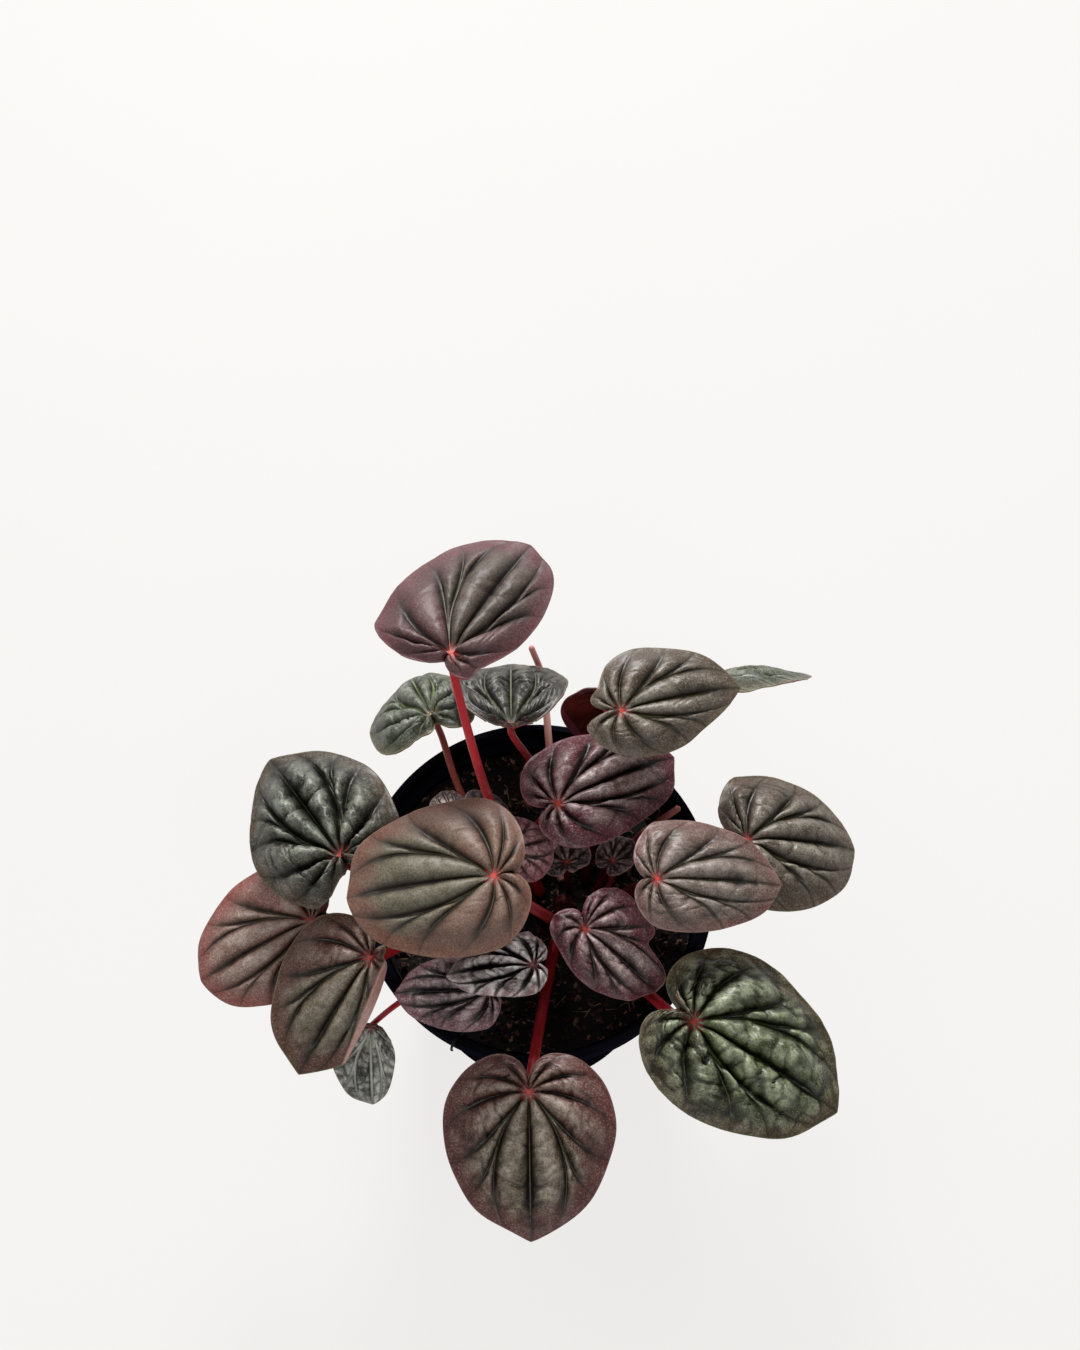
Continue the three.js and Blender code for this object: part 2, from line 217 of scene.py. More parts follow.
def buildStudio():
    bpy.ops.object.camera_add(location=view["place"], rotation=(math.radians(view["tilt"]), 0, 0))
    camera = bpy.context.active_object
    camera.data.sensor_fit = "VERTICAL"
    camera.data.sensor_height = view["film"]
    camera.data.lens = view["lens"]
    camera.data.clip_start = view["nearest"]
    scene.camera = camera
    for lamp in lamps:
        bpy.ops.object.light_add(type="AREA", location=lamp["place"])
        light = bpy.context.active_object
        light.name = lamp["name"]
        light.rotation_euler = aimed(lamp["place"], lamp["aim"])
        light.data.size = lamp["size"]
        light.data.energy = lamp["power"]
    world = bpy.data.worlds.new("paleRoom")
    world.use_nodes = True
    backdrop = world.node_tree.nodes["Background"]
    backdrop.inputs["Color"].default_value = swatch(*room["sky"])
    backdrop.inputs["Strength"].default_value = room["skyStrength"]
    scene.world = world
    bpy.ops.mesh.primitive_plane_add(size=room["floorSize"])
    floor = startPiece("floor")
    paint = Paint("paleFloor", Roughness=0.9, Specular_IOR_Level=0.1)
    cloud = paint.grain(room["cloudScale"]).step(0.35, 0.7)
    paint.finish(Base_Color=paint.mix(cloud, room["floor"], room["floorCloud"]),
                 Emission_Color=room["glow"], Emission_Strength=room["glowStrength"])
    floor.data.materials.append(paint.material)
    print("studio ready")


# One entry a leaf, in millimetres and degrees. First its shape, as the part's source gives it.
# seat: where the stalk meets the blade; turns: heading of the tip, droop, roll; size: length, left
# and right half widths; back: reach of the lobes behind the seat, as a share of the length; tip: how
# pointed it is; taper: how much narrower it is near the seat; curl and cup: how far it bends down
# lengthwise and across; skew: how far the outline turns towards the notch; foldLeft: how far its left
# side is folded down; bulges: angle, height and breadth of the outline's own swells and hollows.
# Then the stalk. foot: where it leaves the soil; via: places that it passes; approach: its straight
# end; stalk: its radius; slim: the share of it that is left at the top; stem: its colours.
# Then the looks. finish: colours; relief and peak: how high and how sharp the pillows are; quilt: how
# deep their folds and cushions are; frill: how crumpled the margin is; star: colour at the seat;
# satin: how silvery the crowns are, with a painted highlight on them; matte and
# underMatte: roughness of the two faces; banks: pale bands beside the ribs, partly a painted highlight;
# lines: dark furrows, with the painted shade in and beside them; lineBreadth: of the light lines along
# the ribs; flap: a plum patch on the under side, left of a line through an x and z, and how far that
# line leans.
usualLeaf = dict(back=0.26, tip=0.2, taper=0, curl=0.15, cup=0.15, skew=0, bulges=[],
                 approach=7, slim=0.95, stem="dark",
                 relief=1, peak=1, quilt=1, frill=1, star="red", satin=0.75,
                 matte=0.34, underMatte=0.42, banks=0.0, lines=1.0, lineBreadth=0.16)
leaves = {
    "01": dict(seat=(-22, 40, 163), turns=(61, 8, -5), size=(44.5, 24, 17.5), back=0.14, tip=0.1,
        bulges=[(-97, -0.42, 34), (0, -0.04, 20), (128, 0.09, 38)],
        foot=(1, 2), via=[(-12, 15, 113)], stalk=1.45, slim=0.78, stem="bright",
        finish="plum", relief=0.9, quilt=0.35, satin=0.45, matte=0.42),
    "02": dict(seat=(-30, 47, 103), turns=(112, 36, -8), size=(28, 18.5, 12), back=0.38, tip=0.12,
        bulges=[(30, -0.12, 24), (108, 0.12, 22), (143, -0.22, 14), (-122, 0.3, 24)],
        foot=(-3, 7), via=[(-20.8, 27, 88)], stalk=1.1, stem="rosy",
        finish="silver", relief=1.4, quilt=0.7, star="leafy", matte=0.36, lines=1.4, lineBreadth=0.45),
    "03": dict(seat=(-7, 38, 117), turns=(91, 32, 0), size=(35, 18, 17), back=0.05, taper=0.8,
        curl=0.12, cup=-0.3,
        foot=(4, 10), via=[(2.8, 27, 96)], approach=2.5, stalk=1.1, stem="cherry",
        finish="sage", relief=0.98, peak=1.3, star="leafy", satin=0.7, lines=1.4, lineBreadth=0.35),
    "04": dict(seat=(20, 48, 112), turns=(85, 100, 0), size=(22, 13, 11),
        foot=(11, 10), via=[(17, 30, 98)], stalk=1.2,
        finish="maroon", relief=0.2, quilt=0.2, matte=0.3, lines=0.0, underMatte=0.24,
        flap=(8.8, 105.5, 0.49)),
    "05": dict(seat=(23, 34, 138), turns=(15, 2, 4), size=(34.5, 17, 14), skew=-9,
        bulges=[(122, -0.27, 26), (-160, 0.2, 16), (-30, -0.11, 20)],
        foot=(14, 6), via=[(17, 22, 96), (24, 40, 115)], stalk=1.4,
        finish="olive", relief=0.9, quilt=0.35, satin=0.9, banks=0.1),
    "06": dict(seat=(46, 52, 112), turns=(21, 16, -54), size=(36.5, 14, 12),
        foot=(18, 5), via=[(28, 30, 94)], stalk=1.2,
        finish="silver", quilt=0.35, banks=0.4),
    "07": dict(seat=(6, 14, 120), turns=(27, 5, 0), size=(36.5, 17, 15), back=0.22, tip=0.16,
        bulges=[(-26, 0.05, 18)],
        foot=(1, 6), via=[(0, 14, 100)], stalk=1.3,
        finish="wine", relief=1.35, quilt=0.5, satin=1.0, matte=0.3, lines=1.3),
    "08": dict(seat=(58, 7, 110), turns=(4, 18, -4), size=(34.5, 21, 20), back=0.22, tip=0.08,
        foot=(19, -1), via=[(38, 2, 90)], stalk=1.3,
        finish="olive", relief=1.05, quilt=0.4, satin=1.0, matte=0.3, banks=0.12),
    "09": dict(seat=(32, -10, 128), turns=(1, 7, 3), size=(34.5, 17, 14), back=0.18, tip=0.12,
        foot=(12.5, -5.5), via=[(19, -8, 95), (26, -6, 107)], stalk=1.4, stem="deep",
        finish="mauve", relief=0.8, quilt=0.6, satin=0.85, banks=0.15),
    "10": dict(seat=(13, -19, 112), turns=(322, 12, 0), size=(25.4, 16, 12), back=0.28, tip=0.14,
        skew=-38, bulges=[(10, 0.09, 9), (30, -0.19, 9), (110, 0.1, 25), (-88, -0.2, 26)],
        foot=(9, -9), via=[(11, -14, 96)], stalk=1.3,
        finish="wine", relief=1.1, quilt=0.6, frill=1.8, satin=0.9, lines=1.3),
    "11": dict(seat=(42, -44, 110), turns=(332, 13, 0), size=(47, 25, 22),
        foot=(14, -12), via=[(27, -28, 92)], stalk=1.6, stem="bright",
        finish="green", relief=1.25, quilt=1.1, satin=1.25, matte=0.29, lines=1.2),
    "12": dict(seat=(-2, -62, 106), turns=(271, 13, 0), size=(39, 23, 23),
        foot=(5, -14), via=[(1, -40, 92)], stalk=1.6, stem="cherry",
        finish="chestnut", quilt=0.7, satin=0.95, lines=1.15),
    "13": dict(seat=(-11, -14, 143), turns=(185, 5, 0), size=(39, 20, 23), back=0.24, tip=0.07,
        bulges=[(-25, 0.05, 15), (-148, -0.07, 18)],
        foot=(2, -5), via=[(4, -15, 108)], stalk=1.6,
        finish="tan", relief=0.75, quilt=0.3, satin=0.5, matte=0.42, lines=1.15),
    "14": dict(seat=(-53, 0, 118), turns=(125, 12, -7), size=(41, 21, 22), back=0.22, tip=0.19,
        bulges=[(31, -0.06, 16), (-83, -0.07, 20), (127, 0.17, 15), (152, -0.28, 13)],
        foot=(-5, 1), via=[(-28, 1, 96)], stalk=1.5,
        finish="moss", relief=1.7, quilt=0.6, satin=0.95, lines=1.5),
    "15": dict(seat=(-63, -11, 93), turns=(204, 12, 0), size=(36, 17.6, 21.2), back=0.22, tip=0.06,
        foot=(-8, -3), via=[(-26, -7, 88), (-47, -10, 92)], approach=3, stalk=1.4,
        finish="russet", relief=0.8, quilt=0.4, satin=0.9),
    "16": dict(seat=(-45, -26, 108), turns=(235, 18, 0), size=(37.2, 14, 21), back=0.2, foldLeft=88,
        bulges=[(-28, 0.06, 22), (118, -0.62, 42)],
        foot=(-7, -7), via=[(-26, -12.5, 92)], stalk=1.5, stem="bright",
        finish="bronze", quilt=0.5),
    "17": dict(seat=(-46, -39, 84), turns=(271, 26, 0), size=(22.5, 7, 12), back=0.04, tip=0.1,
        taper=0.7,
        foot=(-4, -12), via=[(-28, -27, 87), (-38, -34, 91)], approach=2, stalk=0.9, stem="bright",
        finish="frost", relief=1.5, quilt=0.9, star="pale", satin=1.3, banks=0.9, lines=1.5,
        lineBreadth=0.6),
    "18": dict(seat=(-1, -28, 108.5), turns=(182, 9, 0), size=(24.5, 9, 9.5), back=0.17,
        bulges=[(60, -0.08, 25)],
        foot=(3, -9), via=[(1, -18, 96)], stalk=1.2, stem="deep",
        finish="ash", relief=2.2, peak=1.9, quilt=0.9, frill=3, star="pale", satin=1.3, banks=1.0,
        lines=1.2),
    "19": dict(seat=(-13, -33, 100), turns=(179, 5, 0), size=(26, 11, 11), back=0.14, tip=0.14,
        curl=0.08,
        foot=(0, -13), via=[(-7, -24, 90)], stalk=1.1, stem="deep",
        finish="heather", relief=1.2, peak=1.9, quilt=0.8, star="pale", satin=0.9, banks=0.15, lines=1.2),
    "20": dict(seat=(-7, 1, 118), turns=(24, 14, 0), size=(13.5, 10, 10),
        foot=(-1, -1), via=[(-4, -1, 100)], stalk=1.1,
        finish="mulberry", satin=0.9),
    "21": dict(seat=(8.5, 3.1, 102.5), turns=(112, 8, 4), size=(9.5, 8, 7.5), back=0.46, tip=0.1,
        skew=-24, bulges=[(-135, -0.3, 25)],
        foot=(9.5, 3), via=[], stalk=0.9,
        finish="bud", relief=1.6, quilt=1.6, frill=2.5, star="amber", banks=0.25),
    "22": dict(seat=(21.4, 4.5, 99.5), turns=(50, 0, 0), size=(8.5, 6, 5), back=0.5, tip=0.14,
        foot=(16.5, 1.5), via=[], stalk=0.9,
        finish="bud", relief=1.6, quilt=1.6, frill=2.5, star="amber", banks=0.25),
    "23": dict(seat=(-24, 20, 97), turns=(110, 20, 0), size=(9, 6, 5),
        foot=(-7, 5), via=[(-15, 12, 88)], stalk=0.9,
        finish="pearl", peak=1.5, frill=2, star="pale", satin=0.6, banks=0.5, lines=1.5),
    "24": dict(seat=(-16, 18, 100), turns=(28, 28, 0), size=(11, 8, 7),
        foot=(-3, 3), via=[(-10, 10, 88)], stalk=0.9,
        finish="bud", star="pale", satin=0.7, matte=0.5),
}

# Each finish: its slot, and its colours in the order of toneNames. They are the middle of the blade,
# silvery grains on its crowns that also carry a painted highlight, the outer blade, patches near the
# margin, the sunk furrows together with the painted shade beside them, the thin line along a rib, the
# rim, and the under side.
toneNames = ("middle", "satin", "outer", "patch", "furrowAndShade", "line", "rim", "under")
finishes = {
    "bronze": ("leaf_bronze", (92, 80, 60), (184, 174, 158), (104, 62, 56), (92, 62, 42), (22, 14, 8),
               (92, 92, 52), (128, 112, 84), (118, 52, 54)),
    "tan": ("leaf_bronze", (100, 94, 75), (160, 150, 134), (122, 90, 76), (126, 80, 64), (30, 18, 10),
            (104, 96, 66), (134, 106, 86), (124, 60, 56)),
    "chestnut": ("leaf_bronze", (92, 78, 60), (190, 178, 162), (102, 58, 54), (100, 50, 50),
                 (20, 12, 7), (88, 84, 50), (134, 98, 86), (118, 52, 54)),
    "olive": ("leaf_bronze", (76, 65, 52), (186, 178, 164), (82, 66, 54), (94, 78, 62), (26, 18, 10),
              (110, 112, 62), (118, 108, 86), (112, 54, 50)),
    "russet": ("leaf_bronze", (132, 99, 87), (206, 194, 182), (146, 98, 90), (150, 84, 78),
               (30, 16, 10), (110, 98, 60), (132, 96, 84), (126, 54, 54)),
    "plum": ("leaf_plum", (80, 69, 60), (146, 132, 124), (96, 60, 64), (110, 62, 68), (26, 14, 10),
             (104, 104, 70), (136, 96, 100), (132, 58, 66)),
    "wine": ("leaf_plum", (84, 56, 54), (206, 186, 182), (96, 38, 50), (98, 38, 52), (12, 3, 3),
             (72, 50, 44), (140, 86, 92), (110, 34, 42)),
    "mauve": ("leaf_plum", (112, 98, 87), (182, 170, 164), (114, 90, 80), (120, 80, 74), (24, 12, 6),
              (120, 116, 84), (150, 122, 116), (128, 60, 68)),
    "heather": ("leaf_plum", (98, 66, 68), (255, 240, 242), (126, 86, 94), (134, 86, 98), (14, 5, 5),
                (60, 40, 40), (136, 108, 112), (110, 48, 56)),
    "ash": ("leaf_plum", (116, 94, 92), (252, 246, 244), (130, 108, 108), (166, 124, 126), (12, 4, 3),
            (40, 20, 20), (160, 136, 134), (110, 44, 50)),
    "mulberry": ("leaf_plum", (166, 114, 116), (224, 196, 196), (166, 100, 108), (152, 86, 96),
                 (40, 18, 20), (90, 70, 60), (138, 98, 100), (120, 48, 56)),
    "bud": ("leaf_plum", (26, 5, 5), (220, 186, 184), (28, 6, 7), (60, 24, 28), (8, 0, 0), (30, 10, 10),
            (168, 132, 130), (70, 16, 22)),
    "green": ("leaf_green", (72, 80, 44), (184, 192, 160), (58, 58, 32), (90, 70, 46), (8, 8, 2),
              (84, 98, 40), (112, 110, 72), (112, 62, 56)),
    "moss": ("leaf_green", (38, 40, 28), (178, 182, 166), (54, 50, 38), (84, 66, 52), (5, 5, 1),
             (84, 90, 56), (104, 96, 72), (112, 62, 56)),
    "silver": ("leaf_silver", (60, 66, 44), (178, 180, 168), (62, 68, 50), (92, 88, 66), (8, 10, 2),
               (150, 166, 120), (160, 156, 124), (134, 74, 74)),
    "sage": ("leaf_silver", (38, 38, 26), (134, 132, 120), (36, 33, 24), (84, 70, 60), (6, 5, 1),
             (124, 126, 100), (140, 136, 116), (120, 60, 64)),
    "pearl": ("leaf_silver", (128, 92, 90), (240, 216, 212), (140, 112, 108), (104, 92, 80), (20, 8, 5),
              (216, 196, 188), (170, 164, 144), (124, 66, 68)),
    "frost": ("leaf_silver", (26, 29, 20), (226, 230, 220), (44, 46, 36), (96, 84, 72), (12, 12, 6),
              (232, 236, 226), (150, 148, 130), (124, 66, 68)),
    "maroon": ("leaf_maroon", (44, 14, 16), (100, 62, 62), (40, 10, 12), (42, 12, 14), (24, 4, 6),
               (60, 24, 24), (104, 66, 66), (96, 34, 30)),
}
stars = {"red": (206, 70, 58), "leafy": (150, 166, 106), "pale": (168, 120, 116), "amber": (196, 96, 60)}


def eachLeaf():
    for code, own in leaves.items():
        yield code, usualLeaf | own


# The ribs of one half, from the midrib round to the notch: the angle at the star, the angle at the
# margin, the share of the way out where a branch leaves the rib before it and the power by which it
# swings out, the shares between which the rib fades out, and the grid columns up to the next rib.
ribs = [
    dict(start=0, end=0, fades=(0.6, 1.05), columns=13),
    dict(start=46, end=10, fades=(0.55, 1.05), columns=9),
    dict(start=47.5, end=33, leaves=0.5, spread=0.65, fades=(0.5, 1.0), columns=9),
    dict(start=49, end=50, leaves=0.2, spread=0.55, fades=(0.35, 1.0), columns=9),
    dict(start=94, end=66, fades=(0.3, 1.0), columns=11),
    dict(start=131, end=97, fades=(0.3, 1.0), columns=10),
    dict(start=158, end=135, fades=(0.3, 0.95), columns=8),
]
notch = dict(fades=(0.6, 1.05))
outline = dict(mean=0.76, swing=0.24, tipBreadth=22, tipPower=1.1, notchDepth=0.21,
               notchBreadth=18, notchPower=1.3, shoulder=0.03, shoulderAngle=26,
               shoulderBreadth=14, taperStart=-0.1, taperLength=0.6)
crease = dict(start=3.6, slant=0.17, least=3, round=0.9, thinning=0.35, none=-9)


def marginReach(angle, tip):
    a = abs(angle)
    point = tip * math.exp(-((a / outline["tipBreadth"]) ** outline["tipPower"]))
    cut = math.exp(-(((180 - a) / outline["notchBreadth"]) ** outline["notchPower"]))
    shoulder = outline["shoulder"] * bell(a, outline["shoulderAngle"], outline["shoulderBreadth"])
    reach = outline["mean"] - tip + outline["swing"] * math.cos(math.radians(a))
    return reach + point + shoulder - outline["notchDepth"] * cut


def ownOutline(leaf, angle):
    # factor of a leaf's own swells and hollows
    factor = 1
    for spot, added, breadth in leaf["bulges"]:
        factor *= 1 + added * bell(angle, spot, breadth)
    return factor


def outlineScales(leaf):
    # how the bare outline is stretched to the leaf's half widths and lobes
    tip = leaf["tip"]
    half = max(marginReach(a, tip) * math.sin(math.radians(a)) for a in range(0, 181, 2))
    lobe = max(-marginReach(a, tip) * math.cos(math.radians(a)) for a in range(0, 181, 2))
    return half, leaf["back"] / lobe


def flatPlace(leaf, scales, angle, share):
    half, backScale = scales
    length, left, right = leaf["size"]
    reach = marginReach(angle, leaf["tip"]) * ownOutline(leaf, angle) * share
    turned = math.radians(angle + leaf["skew"] * (angle / 180) ** 2)
    x = reach * math.cos(turned)
    y = reach * math.sin(turned)
    y *= (left if y > 0 else right) / half
    if x < 0:
        x *= backScale
    near = clamp(1 - (x - outline["taperStart"]) / outline["taperLength"])
    return x * length, y * (1 - leaf["taper"] * near * near)


def beyondCrease(x, y):
    return y - max(crease["least"], crease["start"] + crease["slant"] * x)


def raised(leaf, x, y, wave):
    # the bowed, cupped and folded blade, with the height of its relief on top
    length, left, right = leaf["size"]
    z = wave - (1 if x > 0 else blade["backCurl"]) * leaf["curl"] * (x / length) ** 2 * length
    z -= leaf["cup"] * y * y / (left if y > 0 else right)
    over = beyondCrease(x, y)
    if "foldLeft" in leaf and over > 0:
        full = math.radians(leaf["foldLeft"])
        turn = min(full, over / crease["round"])
        rest = over - crease["round"] * turn
        y += crease["round"] * math.sin(turn) + rest * math.cos(full) - over
        z -= crease["round"] * (1 - math.cos(turn)) + rest * math.sin(full)
    return Vector((x, y, z))


# The pillows between the ribs, the folds that cross them, and the small cushions between the finest
# veins. Heights are shares of the leaf's size, or millimetres on the cushions; the pairs are where
# something starts and is complete, as shares of the way out, or widths in millimetres.
pillow = dict(height=0.13, ridgeWidth=2.6, start=0.12, taperedStart=0.3, rimDrop=0.75,
              drops=(0.62, 1), widths=(0.4, 3.2), power=0.42, rimPower=0.3,
              shallow=0.55, fading=0.85)
fold = dict(count=6, spread=2, slant=1.1, wander=1.1, stagger=0.37, breadth=0.14,
            depth=0.75, deepest=0.9, mean=0.55, variety=0.9, starts=(0.2, 0.4),
            ends=(0.8, 1), endLoss=0.5, acrossLoss=0.45)
cushion = dict(height=0.42, fineness=0.19, seam=0.32, cells=0.9, broad=0.7, broadScale=0.24,
               small=0.4, smallScale=0.5, warp=2.2, warpScale=0.16, starts=(0.05, 0.3),
               ends=(0.85, 1), endLoss=0.4, usualLength=40, leastLength=12, fullSize=30)
blade = dict(rings=68, middleRings=44, middleLength=30, smallRings=28, smallLength=17,
             bend=0.75, backCurl=0.6, evenRays=0.45, bunchedRays=0.275, thickness=0.9,
             rimThickness=0.5, starThickness=0.6, sway=0.012, swayScale=0.13)
margin = dict(ripples=7, fineRipples=12, fineShare=0.6, frillScale=0.11, wave=0.006,
              outward=0.004)


def ribAngle(index, share):
    # angle of a rib at a share of the way out; a branch hugs the first side rib up to its fork
    if index == len(ribs):
        return 180
    rib = ribs[index]
    if "leaves" not in rib:
        return rib["end"] + (rib["start"] - rib["end"]) * (1 - share) ** blade["bend"]
    parent = ribAngle(1, share) + rib["start"] - ribs[1]["start"]
    out = clamp((share - rib["leaves"]) / (1 - rib["leaves"])) ** rib["spread"]
    return parent + (rib["end"] - parent) * out


def bladeRays():
    # each ray: the pillow it runs over, how far across it, and its side of the midrib; the rays
    # stand closer beside the ribs
    half = []
    for index, rib in enumerate(ribs):
        for column in range(rib["columns"]):
            across = column / rib["columns"]
            bunched = blade["bunchedRays"] * (1 - math.cos(math.pi * across))
            half.append((index, blade["evenRays"] * across + bunched))
    half.append((len(ribs) - 1, 1.0))
    left = [(index, across, 1) for index, across in reversed(half)]
    return left + [(index, across, -1) for index, across in half[1:]]


def holdAt(index, across, share):
    # how strong the two ribs beside a place still are there
    pair = (ribs + [notch])[index:index + 2]
    low, high = (1 - pillow["fading"] * smooth(share, *rib["fades"]) for rib in pair)
    return low + (high - low) * across


def foldsAt(leaf, code, index, across, side, share):
    # how deep the folds cut into a pillow; the whole numbers keep pillows and leaves apart in the noise
    spot = Vector((share * 5, across * 1.5 + index * 3 * side, code * 5))
    count = fold["count"] + fold["spread"] * noise.noise(Vector((index * 2.3 * side, code, 0)))
    phase = share * count - across * fold["slant"] + fold["wander"] * noise.noise(spot)
    phase += index * fold["stagger"]
    variety = noise.noise(Vector((math.floor(phase) * 1.7, index * 5.1 * side, code * 3)))
    dent = bell(phase % 1, 0.5, fold["breadth"]) * (fold["mean"] + fold["variety"] * variety)
    fade = smooth(share, *fold["starts"]) * (1 - fold["endLoss"] * smooth(share, *fold["ends"]))
    fade *= 1 - fold["acrossLoss"] * across
    return clamp(fold["depth"] * leaf["quilt"] * dent * fade, 0, fold["deepest"])


def bladeSize(leaf):
    length, left, right = leaf["size"]
    return math.sqrt(length * (left + right))


def reliefAt(leaf, code, index, across, side, share, width):
    # height of the pillow between two ribs with its cross folds, and its share of the full height
    start = smooth(share, 0, pillow["start"] + pillow["taperedStart"] * leaf["taper"])
    drop = 1 - pillow["rimDrop"] * smooth(share, *pillow["drops"])
    level = pillow["height"] * bladeSize(leaf) * leaf["relief"] * (start * drop)
    full = level * smooth(width, *pillow["widths"]) * width / (width + pillow["ridgeWidth"])
    power = (pillow["power"] + pillow["rimPower"] * share) * leaf["peak"]
    swell = math.sin(math.pi * across) ** power
    crown = swell * (1 - foldsAt(leaf, code, index, across, side, share))
    hold = holdAt(index, across, share)
    flat = pillow["shallow"] * (1 - hold)
    return full * crown * hold + level * flat, crown * hold + flat, hold


def puckerAt(leaf, code, x, y, share):
    # the irregular small cushions between the finest veins: their height, and how near a seam is
    strength = leaf["quilt"] * smooth(share, *cushion["starts"])
    strength *= 1 - cushion["endLoss"] * smooth(share, *cushion["ends"])
    spot = Vector((x, y, code * 9))
    spot += noise.noise_vector(spot * cushion["warpScale"]) * cushion["warp"]
    length = max(leaf["size"][0], cushion["leastLength"])
    fineness = cushion["fineness"] * math.sqrt(cushion["usualLength"] / length)
    nearest = noise.voronoi(spot * fineness)[0]
    dome = smooth(nearest[1] - nearest[0], 0, cushion["seam"])
    broad = 1 - 2 * abs(noise.noise(spot * cushion["broadScale"]))
    small = 1 - 2 * abs(noise.noise(spot * cushion["smallScale"]))
    height = cushion["broad"] * broad + cushion["small"] * small + cushion["cells"] * dome
    return strength * (cushion["height"] * height), clamp(strength, 0, 1) * (1 - dome)


def thicknessAt(share, over):
    # as a share of the blade's thickness: thinner at the star, at the rim and in the fold
    thickness = 1 - (1 - blade["starThickness"]) * (1 - smooth(share, 0, 0.15))
    thickness -= (1 - blade["rimThickness"]) * smooth(share, 0.85, 1)
    return thickness * (1 - crease["thinning"] * smooth(over, -1, 0))


def bladePoint(leaf, scales, code, ray, share):
    # a place on the blade, what its paint reads there, and its thickness
    index, across, side = ray
    size = bladeSize(leaf)
    low = ribAngle(index, share)
    high = ribAngle(index + 1, share)
    angle = side * (low + (high - low) * across)
    x, y = flatPlace(leaf, scales, angle, share)
    lowPlace = flatPlace(leaf, scales, side * low, share)
    highPlace = flatPlace(leaf, scales, side * high, share)
    width = math.dist(lowPlace, highPlace)
    wave, crown, hold = reliefAt(leaf, code, index, across, side, share, width)
    pucker, seam = puckerAt(leaf, code, x, y, share)
    pucker *= min(1, size / cushion["fullSize"])
    sway = noise.noise(Vector((x * blade["swayScale"], y * blade["swayScale"], code * 3)))
    wave += size * blade["sway"] * sway * smooth(share, 0.1, 0.4)
    wave += pucker
    over = beyondCrease(x, y) if "foldLeft" in leaf else crease["none"]
    wave *= 1 - smooth(over, -1, 0.4)
    ripple = math.sin(math.radians(angle) * margin["ripples"] + code)
    ripple += margin["fineShare"] * math.sin(math.radians(angle) * margin["fineRipples"])
    frill = leaf["frill"]
    if frill > 1:
        ripple += frill * noise.noise(Vector((angle * margin["frillScale"], code, 5)))
    wave += size * margin["wave"] * frill * ripple * share ** 4
    outward = 1 + margin["outward"] * frill * ripple * share ** 3
    marks = {
        "vein": min(across, 1 - across) * width,
        "crown": clamp(crown + 0.35 * pucker, 0, 1.3),
        "out": math.hypot(x, y),
        "rim": math.dist((x, y), flatPlace(leaf, scales, angle, 1)),
        "share": share,
        "turn": abs(angle) / 180,
        "hold": hold,
        "fold": over,
        "seam": seam,
    }
    return raised(leaf, x * outward, y * outward, wave), marks, thicknessAt(share, over)


def bladeRings(length):
    if length < blade["smallLength"]:
        return blade["smallRings"]
    return blade["middleRings"] if length < blade["middleLength"] else blade["rings"]


def buildBlade(code, leaf):
    scales = outlineScales(leaf)
    rays = bladeRays()
    rings = bladeRings(leaf["size"][0])
    startFresh()
    bpy.ops.mesh.primitive_grid_add(x_subdivisions=len(rays) - 1, y_subdivisions=rings, size=2)
    piece = startPiece("leafBlade_" + code)
    mesh = piece.data
    thickness = piece.vertex_groups.new(name="thickness")
    marks = {}
    for vertex in mesh.vertices:
        column = round((vertex.co.x + 1) / 2 * (len(rays) - 1))
        share = round((vertex.co.y + 1) / 2 * rings) / rings
        vertex.co, values, weight = bladePoint(leaf, scales, int(code), rays[column], share)
        thickness.add([vertex.index], weight, "REPLACE")
        for name, value in values.items():
            marks.setdefault(name, []).append(value)
    for name, values in marks.items():
        mesh.attributes.new(name, "FLOAT", "POINT").data.foreach_set("value", values)
    pick(piece)
    editFaces()
    bpy.ops.mesh.remove_doubles(threshold=0.002)
    endEdit()
    heading, droop, roll = (math.radians(a) for a in leaf["turns"])
    piece.scale = (mm, mm, mm)
    piece.rotation_euler = Euler((roll, droop, heading), "XYZ")
    piece.location = [a * mm for a in leaf["seat"]]
    bpy.ops.object.transform_apply(location=True, rotation=True, scale=True)
    slotName, *colours = finishes[leaf["finish"]]
    tones = dict(zip(toneNames, colours))
    for paintSide in (paintTop, paintUnder, paintRim):
        mesh.materials.append(paintSide(code, leaf, tones))
    addModifier(piece, "SOLIDIFY", thickness=blade["thickness"] * mm, offset=-1, use_rim=True,
                vertex_group="thickness", material_offset=1, material_offset_rim=2)
    bpy.ops.object.shade_smooth()
    settle(piece, slotName, "blade_" + code)


skin = dict(cloud=130.0, streak=620.0, fine=2100.0, starRadius=0.25, starGrowth=0.024,
            blush=(150, 40, 36), strip=(190, 138, 128), stripLight=(224, 178, 166),
            underBlush=160.0, underFine=2400.0, rimRoughness=0.45, flap=(132, 62, 80),
            flapEdge=0.25, ribbing=(172, 96, 92), rimPatches=300.0)


